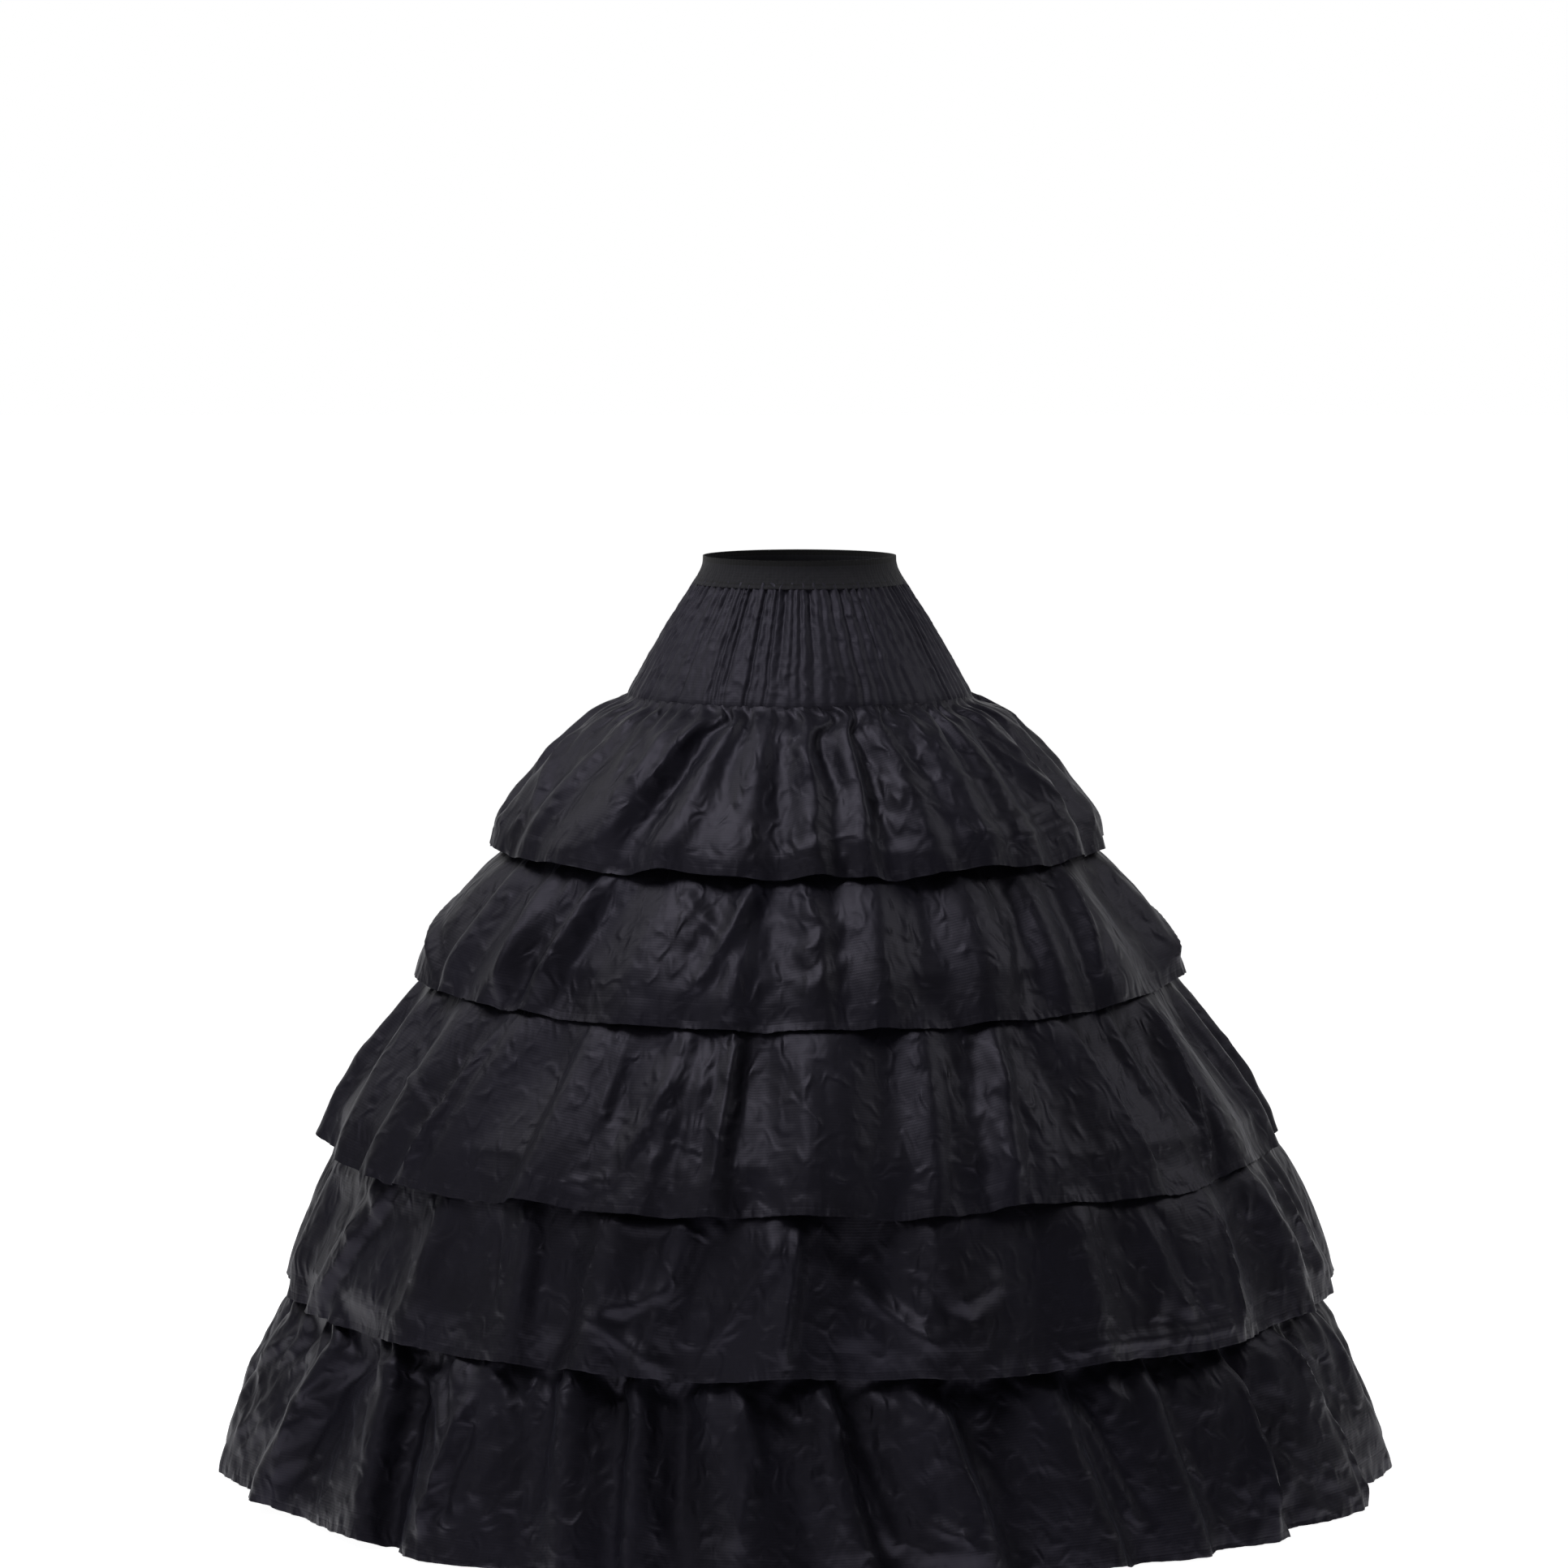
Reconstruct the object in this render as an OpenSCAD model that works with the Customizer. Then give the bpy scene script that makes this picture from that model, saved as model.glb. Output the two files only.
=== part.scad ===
// Hoop petticoat: a crinoline cage of four hoops under five gathered flounces.
// Millimetres. The hem lies on z = 0, the waist is up, and the front faces -Y.

/* [Waistband] */
// Inside diameter of the straight upper part of the band
waist_d = 214; // [190:1:236]
// Height of the band
band_h = 28; // [24:1:40]
// Thickness of the woven elastic
band_t = 2.6; // [2.2:0.1:3.4]
// Height of the straight part that grips the waist
band_grip_h = 14; // [8:1:18]
// How far the lower edge stands out beyond the straight part
band_flare = 14; // [8:1:20]

/* [Yoke] */
// Height of the gathered yoke, from the band to the first flounce
yoke_h = 128; // [110:1:146]
// Diameter of the seam at the foot of the yoke
seam_d = 390; // [370:2:410]
// Number of gathers around the yoke
yoke_gathers = 48; // [36:2:52]
// Depth of a gather, half from ridge to valley
yoke_gather_depth = 3; // [1.5:0.5:4]

/* [Hoops] */
// Diameter of the top hoop, to the middle of the strip
hoop_1_d = 618; // [560:2:680]
// Diameter of the second hoop
hoop_2_d = 792; // [720:2:860]
// Diameter of the third hoop
hoop_3_d = 1024; // [940:2:1100]
// Diameter of the bottom hoop
hoop_4_d = 1120; // [1060:2:1200]
// Drop from the yoke seam to the top hoop
drop_1 = 141; // [120:1:180]
// Drop from the top hoop to the second
drop_2 = 140; // [120:1:180]
// Drop from the second hoop to the third
drop_3 = 190; // [150:1:230]
// Drop from the third hoop to the bottom hoop
drop_4 = 170; // [130:1:210]
// Width of the steel strip
strip_w = 6; // [5:0.5:8]
// Thickness of the steel strip with its plastic coat
strip_t = 1.2; // [1:0.1:1.6]
// Length of the sleeve that joins the two ends of a hoop
ferrule_l = 36; // [28:1:48]
// Wall of the sleeve
ferrule_t = 0.5; // [0.4:0.1:0.8]

/* [Casings and body] */
// Cloth wall of a hoop casing
casing_wall = 1; // [0.9:0.1:1.4]
// Play around the sleeve inside the casing, which lets the hoop be threaded
hoop_play = 0.3; // [0.2:0.1:0.5]
// Length of the opening at the back where the hoop is threaded
casing_opening = 60; // [54:1:80]
// Thickness of the body cloth with its seam turnings
body_t = 1.2; // [1:0.1:1.4]
// How far the body cloth hangs in between two hoops
slack = 12; // [0:1:14]

/* [Flounces] */
// Thickness of the flounce cloth, drawn thicker than the real weave
cloth_t = 1.5; // [1.2:0.1:1.8]
// Angle between folds at the back of the top flounce, which closes by a degree with each flounce below
back_spacing = 17; // [17:1:24]
// How far a flounce hangs below the hoop that carries the next one
overlap = 30; // [24:1:40]
// Space kept between the body cloth and the folds over it
body_gap = 1.5; // [1:0.5:4]
// Space kept between a hem and the flounce under it
layer_gap = 3; // [2:0.5:6]
// Depth of the folds in the middle of a flounce, half from ridge to valley
fold_depth = 14; // [8:0.5:16]
// Depth of the folds where the hem above lies over them
shoulder_depth = 1.5; // [1:0.5:4]
// Depth of the folds at the hems of the upper four flounces
hem_depth = 5.5; // [2:0.5:8]
// Depth of the folds at the bottom hem
bottom_depth = 12; // [6:0.5:16]
// How far a flounce rounds out between its shoulder and its hem
belly = 5; // [0:0.5:10]
// How far the top flounce puffs out further at its shoulder
puff = 11; // [0:1:20]
// Drop from the yoke seam to that shoulder
puff_drop = 20; // [14:1:30]
// How far the bottom flounce stands out from its hoop, under the hem above
bottom_shoulder = 20; // [16:1:30]
// Drop from the bottom hoop to the hem
hem_drop = 245; // [200:1:300]
// How far the hem stands out beyond the bottom hoop
hem_spread = 114; // [80:1:140]

/* [Hidden] */

$fn = 180;

// Sides drawn for each fold and for each gather
fold_sides = 4;
gather_sides = 3;

// Levels, from the hem up
hoop_z = [
    hem_drop + drop_4 + drop_3 + drop_2,
    hem_drop + drop_4 + drop_3,
    hem_drop + drop_4,
    hem_drop
];
hoop_r = [hoop_1_d / 2, hoop_2_d / 2, hoop_3_d / 2, hoop_4_d / 2];
seam_z = hoop_z[0] + drop_1;
seam_r = seam_d / 2;
band_z = seam_z + yoke_h;
top_z = band_z + band_h;
waist_r = waist_d / 2;

// The sleeve slips over the strip, and the casing is wide enough to pass the sleeve
ferrule_fit = 0.15;
split_gap = 1;
sleeve_in_w = strip_w + 2 * ferrule_fit;
sleeve_in_t = strip_t + 2 * ferrule_fit;
sleeve_w = sleeve_in_w + 2 * ferrule_t;
sleeve_t = sleeve_in_t + 2 * ferrule_t;
tunnel_w = sleeve_w + 2 * hoop_play;
tunnel_t = sleeve_t + 2 * hoop_play;
casing_w = tunnel_w + 2 * casing_wall;
casing_t = tunnel_t + 2 * casing_wall;

// Both cloths meet the casing's lower face side by side, inside its edges and off its middle
seam_edge = 0.2;
panel_off = 0.4;
header_off = 0.8;
panel_top_w = casing_t / 2 - seam_edge - panel_off;
header_t = casing_t / 2 - seam_edge - header_off;

// The foot of the yoke is a turned seam, wide enough to carry both cloths side by side
yoke_top_t = 2;
yoke_wall = 1.6;
yoke_foot_depth = 0.8;
yoke_mid = 0.4;
yoke_round = 5;
yoke_header_in = 2 * yoke_foot_depth;
seam_space = 0.8;
panel_1_in = yoke_header_in + header_t + seam_space;
yoke_foot_t = panel_1_in + panel_top_w;

// Folds that show at the front of each flounce: the angle of a ridge from the front, at the header
// and at the hem, and the share of the full depth that the valley after it has
front_folds = [
    [
        [-76, -79, 0.4], [-55, -62, 0.3], [-32, -49, 0.9], [-18, -26, 0.3], [-9, -13, 0.6], [-1, 4, 0.8],
        [13, 14, 0.8], [24, 28, 0.4], [37, 38, 0.3], [51, 49, 0.4], [66, 65, 0.5], [80, 79, 0.4]
    ],
    [
        [-82, -80, 0.4], [-63, -66, 0.5], [-45, -54, 0.7], [-36, -44, 0.7], [-22, -27, 0.4], [-7, -11, 1],
        [3, 4, 0.4], [14, 12, 0.7], [31, 28, 0.7], [45, 42, 0.4], [58, 53, 0.7], [80, 82, 0.4]
    ],
    [
        [-77, -70, 0.6], [-58, -62, 0.4], [-43, -54, 0.8], [-30, -34, 0.3], [-15, -18, 0.3], [-9, -9, 1],
        [3, 2, 0.4], [18, 16, 0.6], [29, 24, 0.3], [38, 46, 0.7], [52, 55, 0.6], [64, 63, 0.5], [80, 82, 0.4]
    ],
    [
        [-80, -80, 0.4], [-58, -70, 0.6], [-46, -48, 0.4], [-33, -32, 0.8], [-22, -23, 0.3], [-12, -17, 0.5],
        [-2, -3, 0.9], [16, 14, 0.3], [34, 33, 0.4], [53, 51, 0.7], [66, 68, 0.5], [80, 84, 0.4]
    ],
    [
        [-82, -84, 0.5], [-62, -66, 0.6], [-50, -46, 0.7], [-37, -39, 0.4], [-26, -23, 0.6], [-17, -16, 0.7],
        [-7, -4, 0.5], [2, 7, 0.7], [13, 18, 0.6], [26, 31, 0.5], [38, 41, 0.4], [50, 52, 0.6],
        [62, 67, 0.6], [79, 86, 0.5]
    ]
];

function between(low, high, share) = low + (high - low) * share;
function bottom(tier) = tier == 4;

// Header of a flounce, beside the top edge of the body panel that it covers
function header_z(tier) = tier == 0 ? seam_z : hoop_z[tier - 1] - casing_w / 2;
function header_r(tier) =
    tier == 0 ? seam_r - yoke_header_in : hoop_r[tier - 1] + casing_t / 2 - seam_edge;

// Outer face of a body panel from seam to casing, before its slack
function panel_top_r(tier) =
    tier == 0 ? seam_r - panel_1_in : hoop_r[tier - 1] - casing_t / 2 + seam_edge + panel_top_w;
function panel_foot_r(tier) = hoop_r[tier] + body_t / 2;
function panel_foot_z(tier) = hoop_z[tier] + casing_w / 2;
function panel_share(tier, level) = (header_z(tier) - level) / (header_z(tier) - panel_foot_z(tier));
function panel_r(tier, level) =
    between(panel_top_r(tier), panel_foot_r(tier), panel_share(tier, level));

// Ridges at the shoulder: body cloth, space, cloth and the full fold, from the inside out
function shoulder_z(tier) = tier == 0 ? seam_z - puff_drop : hoop_z[tier - 1] - overlap;
function shoulder_r(tier) =
    bottom(tier)
        ? hoop_r[3] + bottom_shoulder
        : panel_r(tier, shoulder_z(tier)) + body_gap + cloth_t + 2 * shoulder_depth
            + (tier == 0 ? puff : 0);
function shoulder_valley(tier) = shoulder_r(tier) - 2 * shoulder_depth;

// Valleys at the hem: they clear the shoulder of the flounce below and the casing inside
function hem_z(tier) = bottom(tier) ? 0 : hoop_z[tier] - overlap;
function hem_folds(tier) = bottom(tier) ? bottom_depth : hem_depth;
function hem_share(tier) = overlap / (shoulder_z(tier) - hem_z(tier));
function past_flounce(tier) = shoulder_r(tier + 1) + layer_gap + cloth_t;
function past_casing(tier) =
    let (
        room = hoop_r[tier] + casing_t / 2 + body_gap + cloth_t,
        share = hem_share(tier)
    )
    (room - shoulder_valley(tier) * share) / (1 - share);
function hem_valley(tier) =
    bottom(tier)
        ? hoop_r[3] + hem_spread - 2 * bottom_depth
        : max(past_flounce(tier), past_casing(tier));

// Between them the valleys follow the slack at first, and the ridges stand out by the fold and the belly
upper_share = 0.35;
lower_share = 0.7;
upper_slack = 0.9;
function belly_z(tier, share) = between(shoulder_z(tier), hem_z(tier), share);
function belly_r(tier, share, depth, ease) =
    between(shoulder_valley(tier), hem_valley(tier), share) + 2 * depth - ease * slack
        + belly * sin(180 * share);

// Folds at the back fill the rest of the round, uneven in place, lean and depth by waves that don't repeat
back_wander = 0.18;
back_lean = 3;
back_size = 0.55;
back_vary = 0.3;
place_wave = 140;
lean_wave = 200;
size_wave = 250;
tier_wave = 70;
function back_folds(tier) =
    let (
        last = front_folds[tier][len(front_folds[tier]) - 1],
        gap = 360 + front_folds[tier][0][0] - last[0],
        count = round(gap / (back_spacing - tier))
    )
    [
        for (fold = [1 : count - 1])
            let (
                place = fold + back_wander * sin(place_wave * fold + tier_wave * tier),
                angle = last[0] + gap * place / count,
                size = back_size + back_vary * sin(size_wave * fold + tier_wave * tier)
            )
            [angle, angle + back_lean * sin(lean_wave * fold), size]
    ];
function flounce_folds(tier) = concat(front_folds[tier], back_folds(tier));

// Gathers of the yoke, closer together and shallower on some stretches
gather_wander = 6;
gather_size = 0.75;
gather_vary = 0.25;
function gather_folds() = [
    for (fold = [0 : yoke_gathers - 1])
        let (
            turn = 360 * fold / yoke_gathers,
            angle = turn + gather_wander * sin(3 * turn)
        )
        [angle, angle, gather_size + gather_vary * sin(4 * turn)]
];

// Angle around the wall part of the way from one ridge to the next, counted from the front
function fold_angle(folds, fold, part, row) =
    let (last = fold == len(folds) - 1)
    between(folds[fold][row], folds[last ? 0 : fold + 1][row] + (last ? 360 : 0), part);

function wall_point(radius, level, depth, folds, fold, part, drop) =
    let (
        angle = between(fold_angle(folds, fold, part, 0), fold_angle(folds, fold, part, 1), drop) - 90,
        reach = radius + depth * folds[fold][2] * (cos(360 * part) - 1)
    )
    [reach * cos(angle), reach * sin(angle), level];

// A closed cloth wall of folds, given ring by ring from its header down to its hem
module gathered_wall(levels, radii, depths, walls, folds, sides) {
    rings = len(levels);
    steps = len(folds) * sides;
    points = [
        for (side = [0, 1])
            for (ring = [0 : rings - 1])
                for (step = [0 : steps - 1])
                    wall_point(
                        radii[ring] - side * walls[ring], levels[ring], depths[ring],
                        folds, floor(step / sides), (step % sides) / sides, ring / (rings - 1)
                    )
    ];
    inner = rings * steps;
    foot = (rings - 1) * steps;
    outside = [
        for (ring = [0 : rings - 2])
            for (step = [0 : steps - 1])
                let (
                    here = ring * steps + step,
                    next = ring * steps + (step + 1) % steps
                )
                each [[here, next, next + steps], [here, next + steps, here + steps]]
    ];
    inside = [for (face = outside) [face[0] + inner, face[2] + inner, face[1] + inner]];
    edges = [
        for (step = [0 : steps - 1])
            let (next = (step + 1) % steps)
            each [
                [inner + step, inner + next, next],
                [inner + step, next, step],
                [inner + foot + step, foot + next, inner + foot + next],
                [inner + foot + step, foot + step, foot + next]
            ]
    ];
    polyhedron(points = points, faces = concat(outside, inside, edges), convexity = 12);
}

module waistband() {
    color("#2b2b30")
        rotate_extrude()
            polygon([
                [waist_r, top_z],
                [waist_r + band_t, top_z],
                [waist_r + band_t, top_z - band_grip_h],
                [waist_r + band_flare + band_t, band_z],
                [waist_r + band_flare, band_z],
                [waist_r, top_z - band_grip_h]
            ]);
}

module yoke() {
    top_r = waist_r + band_flare + band_t - seam_edge;
    color("#34343a")
        gathered_wall(
            [band_z, between(band_z, seam_z, yoke_mid), seam_z],
            [top_r, between(top_r, seam_r, yoke_mid) + yoke_round, seam_r],
            [0, yoke_gather_depth, yoke_foot_depth],
            [yoke_top_t, yoke_wall, yoke_foot_t],
            gather_folds(), gather_sides
        );
}

// Each flounce hangs from its header, rounds out over the next hoop and ends in a hem
module flounce(tier) {
    lower_depth = between(fold_depth, hem_folds(tier), lower_share);
    color("#2e2e34")
        gathered_wall(
            [
                header_z(tier),
                shoulder_z(tier),
                belly_z(tier, upper_share),
                belly_z(tier, lower_share),
                hem_z(tier)
            ],
            [
                header_r(tier),
                shoulder_r(tier),
                belly_r(tier, upper_share, fold_depth, upper_slack),
                belly_r(tier, lower_share, lower_depth, 0),
                belly_r(tier, 1, hem_folds(tier), 0)
            ],
            [0, shoulder_depth, fold_depth, lower_depth, hem_folds(tier)],
            [header_t, cloth_t, cloth_t, cloth_t, cloth_t],
            flounce_folds(tier), fold_sides
        );
}

module flounce_1() { flounce(0); }
module flounce_2() { flounce(1); }
module flounce_3() { flounce(2); }
module flounce_4() { flounce(3); }
module flounce_5() { flounce(4); }

// Plain body cloth, hanging from one seam to the casing below it
module body_panel(tier) {
    middle_z = between(header_z(tier), panel_foot_z(tier), 0.5);
    middle_r = panel_r(tier, middle_z) - slack;
    color("#242428")
        rotate_extrude()
            polygon([
                [panel_top_r(tier) - panel_top_w, header_z(tier)],
                [panel_top_r(tier), header_z(tier)],
                [middle_r, middle_z],
                [panel_foot_r(tier), panel_foot_z(tier)],
                [panel_foot_r(tier) - body_t, panel_foot_z(tier)],
                [middle_r - body_t, middle_z]
            ]);
}

module body_panel_1() { body_panel(0); }
module body_panel_2() { body_panel(1); }
module body_panel_3() { body_panel(2); }
module body_panel_4() { body_panel(3); }

// Angle that a length takes up on a hoop
function on_hoop(length, tier) = length / hoop_r[tier] * 180 / PI;

// A tape tunnel around the hoop, open at the back where the hoop is threaded
module hoop_casing(tier) {
    opening = on_hoop(casing_opening, tier);
    color("#1f1f23")
        rotate([0, 0, 90 + opening / 2])
            rotate_extrude(angle = 360 - opening)
                translate([hoop_r[tier], hoop_z[tier]])
                    difference() {
                        square([casing_t, casing_w], center = true);
                        square([tunnel_t, tunnel_w], center = true);
                    }
}

module hoop_casing_1() { hoop_casing(0); }
module hoop_casing_2() { hoop_casing(1); }
module hoop_casing_3() { hoop_casing(2); }
module hoop_casing_4() { hoop_casing(3); }

// A flat strip bent round, with its two ends nearly meeting at the back
module hoop(tier) {
    split = on_hoop(split_gap, tier);
    color("#e8e6df")
        rotate([0, 0, 90 + split / 2])
            rotate_extrude(angle = 360 - split)
                translate([hoop_r[tier], hoop_z[tier]])
                    square([strip_t, strip_w], center = true);
}

module hoop_1() { hoop(0); }
module hoop_2() { hoop(1); }
module hoop_3() { hoop(2); }
module hoop_4() { hoop(3); }

// A flat sleeve over the two ends of the strip
module hoop_ferrule(tier) {
    length = on_hoop(ferrule_l, tier);
    color("#b9bcc0")
        rotate([0, 0, 90 - length / 2])
            rotate_extrude(angle = length)
                translate([hoop_r[tier], hoop_z[tier]])
                    difference() {
                        square([sleeve_t, sleeve_w], center = true);
                        square([sleeve_in_t, sleeve_in_w], center = true);
                    }
}

module hoop_ferrule_1() { hoop_ferrule(0); }
module hoop_ferrule_2() { hoop_ferrule(1); }
module hoop_ferrule_3() { hoop_ferrule(2); }
module hoop_ferrule_4() { hoop_ferrule(3); }

waistband();
yoke();
flounce_1();
flounce_2();
flounce_3();
flounce_4();
flounce_5();
body_panel_1();
body_panel_2();
body_panel_3();
body_panel_4();
hoop_casing_1();
hoop_casing_2();
hoop_casing_3();
hoop_casing_4();
hoop_1();
hoop_2();
hoop_3();
hoop_4();
hoop_ferrule_1();
hoop_ferrule_2();
hoop_ferrule_3();
hoop_ferrule_4();
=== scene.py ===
import math
import time

import bpy
import numpy as np
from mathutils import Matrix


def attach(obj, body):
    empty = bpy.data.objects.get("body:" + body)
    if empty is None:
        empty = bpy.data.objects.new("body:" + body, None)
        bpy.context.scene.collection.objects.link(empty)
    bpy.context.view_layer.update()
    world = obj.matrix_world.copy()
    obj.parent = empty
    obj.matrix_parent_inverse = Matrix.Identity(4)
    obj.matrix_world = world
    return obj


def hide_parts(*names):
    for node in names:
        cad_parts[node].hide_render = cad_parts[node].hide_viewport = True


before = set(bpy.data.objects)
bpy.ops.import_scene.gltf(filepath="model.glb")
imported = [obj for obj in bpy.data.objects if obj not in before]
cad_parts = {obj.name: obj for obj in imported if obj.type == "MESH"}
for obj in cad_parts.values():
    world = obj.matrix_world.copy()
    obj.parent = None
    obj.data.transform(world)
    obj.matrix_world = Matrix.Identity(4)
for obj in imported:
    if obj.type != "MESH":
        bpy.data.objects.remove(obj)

startTime = time.time()
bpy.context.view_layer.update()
scene = bpy.context.scene
mm = 0.001
fullTurn = 2 * math.pi


def report(stage):
    print(f"{time.time() - startTime:6.1f} s  {stage}", flush=True)


def linear(hexColour):  # sRGB hex to the linear values that shaders take
    channels = [int(hexColour[i:i + 2], 16) / 255 for i in (1, 3, 5)]
    return [c / 12.92 if c <= 0.04045 else ((c + 0.055) / 1.055) ** 2.4 for c in channels] + [1.0]


def addNode(tree, kind, inputs=None, **settings):  # a node given as an input stands for its first output
    made = tree.nodes.new("ShaderNode" + kind)
    for name, value in settings.items():
        setattr(made, name, value)
    for name, value in (inputs or {}).items():
        if isinstance(value, bpy.types.Node):
            value = value.outputs[0]
        if isinstance(value, bpy.types.NodeSocket):
            tree.links.new(value, made.inputs[name])
        else:
            made.inputs[name].default_value = value
    return made


def perMetre(sizeMm):  # scale of a noise whose cells have this size
    return 1000 / sizeMm


def waveScale(periodMm):  # a wave texture goes through 20 radians for each unit of its vector
    return perMetre(periodMm) * fullTurn / 20


# camera: at eye height, well back, with a long lens as in a catalogue shot
cameraSetup = {"height": 1.5, "distance": 7.5, "aside": -0.0175, "pitchDeg": 5.47, "farClip": 60,
               "focalPixels": 8190, "imagePixels": 1932, "sensorMm": 36}
cameraData = bpy.data.cameras.new("catalogueCamera")
cameraData.sensor_width = cameraSetup["sensorMm"]
cameraData.lens = cameraSetup["focalPixels"] / cameraSetup["imagePixels"] * cameraSetup["sensorMm"]
cameraData.clip_end = cameraSetup["farClip"]
camera = bpy.data.objects.new("catalogueCamera", cameraData)
camera.location = (cameraSetup["aside"], -cameraSetup["distance"], cameraSetup["height"])
camera.rotation_euler = (math.radians(90 - cameraSetup["pitchDeg"]), 0, 0)
scene.collection.objects.link(camera)
scene.camera = camera
scene.view_settings.view_transform = "Standard"
report("camera")


def newMaterial(name):
    material = bpy.data.materials.new(name)
    material.use_nodes = True
    material.node_tree.nodes.clear()
    return material, material.node_tree


# polyester taffeta, woven from filament yarn and calendered: near black, crisp, with a soft broad sheen;
# the hem and its puckers fade out at so many times the hem's height
taffetaLook = {"threadMm": 3.2, "slubMm": 7, "creaseMm": 20, "hemMm": 9, "puckerMm": 13,
               "cloudsPerMetre": 9.0, "hemFade": 2.5, "puckerFade": 3.2,
               "sheen": "#8d8fa6", "gloss": "#e2dcf6"}
# the flounces keep their gloss, while the yoke is rubbed dull by its fine gathers; its colours are also
# painted lighter, as painted light
flounceFinish = {"colour": "#100f15", "lift": "#17161f", "roughness": (0.44, 0.56), "specular": 0.34}
yokeFinishPaintedLighter = {"colour": "#1a1920", "lift": "#23222a", "roughness": (0.51, 0.63), "specular": 0.36}
# height of the hem from its cut edge upwards: proud, then the stitch line, then the single cloth
hemRise = [(0.0, 0.55), (0.1, 1.0), (0.32, 1.0), (0.38, 0.0), (0.44, 0.4), (1.0, 0.35)]


def makeTaffeta(name, finish, hemmed):
    look = taffetaLook
    material, tree = newMaterial(name)
    uv = addNode(tree, "UVMap", uv_map="cloth")
    cloudy = addNode(tree, "TexNoise", {"Vector": uv, "Scale": look["cloudsPerMetre"], "Detail": 3.0})
    tint = addNode(tree, "ValToRGB", {"Fac": cloudy})
    tint.color_ramp.elements[0].position = 0.35
    tint.color_ramp.elements[0].color = linear(finish["colour"])
    tint.color_ramp.elements[1].position = 0.7
    tint.color_ramp.elements[1].color = linear(finish["lift"])
    # small dents and creases left by packing, a little longer along the warp
    along = addNode(tree, "Mapping", {"Vector": uv, "Rotation": (0, 0, 0.35), "Scale": (1.0, 0.8, 1.0)})
    crease = addNode(tree, "TexNoise", {"Vector": along, "Scale": perMetre(look["creaseMm"]), "Detail": 1.5,
                                        "Roughness": 0.5, "Distortion": 0.6},
                     noise_type="RIDGED_MULTIFRACTAL")
    surface = addNode(tree, "Bump", {"Height": crease, "Strength": 0.8, "Distance": 0.0034})
    # real threads are about 0.1 mm, too fine to show, so the rib and its slubs are drawn coarser
    rib = addNode(tree, "TexWave", {"Vector": uv, "Scale": waveScale(look["threadMm"]), "Distortion": 1.5,
                                    "Detail": 1.0}, wave_type="BANDS", bands_direction="Y")
    flat = addNode(tree, "Mapping", {"Vector": uv, "Scale": (0.12, 1.0, 1.0)})
    slub = addNode(tree, "TexNoise", {"Vector": flat, "Scale": perMetre(look["slubMm"]), "Detail": 2.0})
    surface = addNode(tree, "Bump", {"Height": rib.outputs["Fac"], "Strength": 0.10, "Distance": 0.0004,
                                     "Normal": surface})
    surface = addNode(tree, "Bump", {"Height": slub, "Strength": 0.10, "Distance": 0.0006, "Normal": surface})
    if hemmed:
        # the turned-up hem stands a little proud, with a stitch line and the puckers that it draws
        up = addNode(tree, "SeparateXYZ", {"Vector": uv}).outputs["Y"]
        step = addNode(tree, "MapRange", {"Value": up, "From Max": look["hemFade"] * look["hemMm"] * mm})
        edge = addNode(tree, "ValToRGB", {"Fac": step})
        ramp = edge.color_ramp.elements
        for place, _ in hemRise[1:-1]:
            ramp.new(place)
        for spot, (_, grey) in zip(ramp, hemRise):
            spot.color = (grey, grey, grey, 1)
        near = addNode(tree, "MapRange", {"Value": up, "From Max": look["puckerFade"] * look["hemMm"] * mm,
                                          "To Min": 1.0, "To Max": 0.0})
        tall = addNode(tree, "Mapping", {"Vector": uv, "Scale": (1.0, 0.3, 1.0)})
        pucker = addNode(tree, "TexNoise", {"Vector": tall, "Scale": perMetre(look["puckerMm"]),
                                            "Detail": 1.0})
        puckered = addNode(tree, "Math", {0: pucker, 1: near}, operation="MULTIPLY")
        surface = addNode(tree, "Bump", {"Height": puckered, "Strength": 0.6, "Distance": 0.006,
                                         "Normal": surface})
        surface = addNode(tree, "Bump", {"Height": edge, "Strength": 0.15, "Distance": 0.0010,
                                         "Normal": surface})
    smooth, rough = finish["roughness"]
    roughness = addNode(tree, "MapRange", {"Value": cloudy, "To Min": smooth, "To Max": rough})
    shader = addNode(tree, "BsdfPrincipled",
                     {"Base Color": tint, "Roughness": roughness, "IOR": 1.55, "Normal": surface,
                      "Specular IOR Level": finish["specular"], "Specular Tint": linear(look["gloss"]),
                      "Sheen Weight": 0.10, "Sheen Roughness": 0.3, "Sheen Tint": linear(look["sheen"])})
    addNode(tree, "OutputMaterial", {"Surface": shader})
    return material


# the yoke's copy of the taffeta has its colours painted lighter than the flounces', as painted light
dullTaffetaPaintedLighter = makeTaffeta("dullWovenTaffetaPaintedLighter", yokeFinishPaintedLighter, False)
hemmedTaffeta = makeTaffeta("hemmedWovenTaffeta", flounceFinish, True)

# elastic, woven over rubber threads: flat and matte with upright ribs; painted shade at its stitched foot and
# turned top
elasticLook = {"colour": "#1d1c22", "grooveShade": "#0b0a0d", "ribMm": 4.8, "rowMm": 3.4, "edgeMm": 2.2,
               "seamMm": 5.5, "tallMm": 30}
elastic, tree = newMaterial("wovenElastic")
uv = addNode(tree, "UVMap", uv_map="cloth")
rib, row = [addNode(tree, "TexWave", {"Vector": uv, "Scale": waveScale(elasticLook[size]), "Distortion": 0.6},
                    wave_type="BANDS", bands_direction=way) for size, way in (("ribMm", "X"), ("rowMm", "Y"))]
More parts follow.
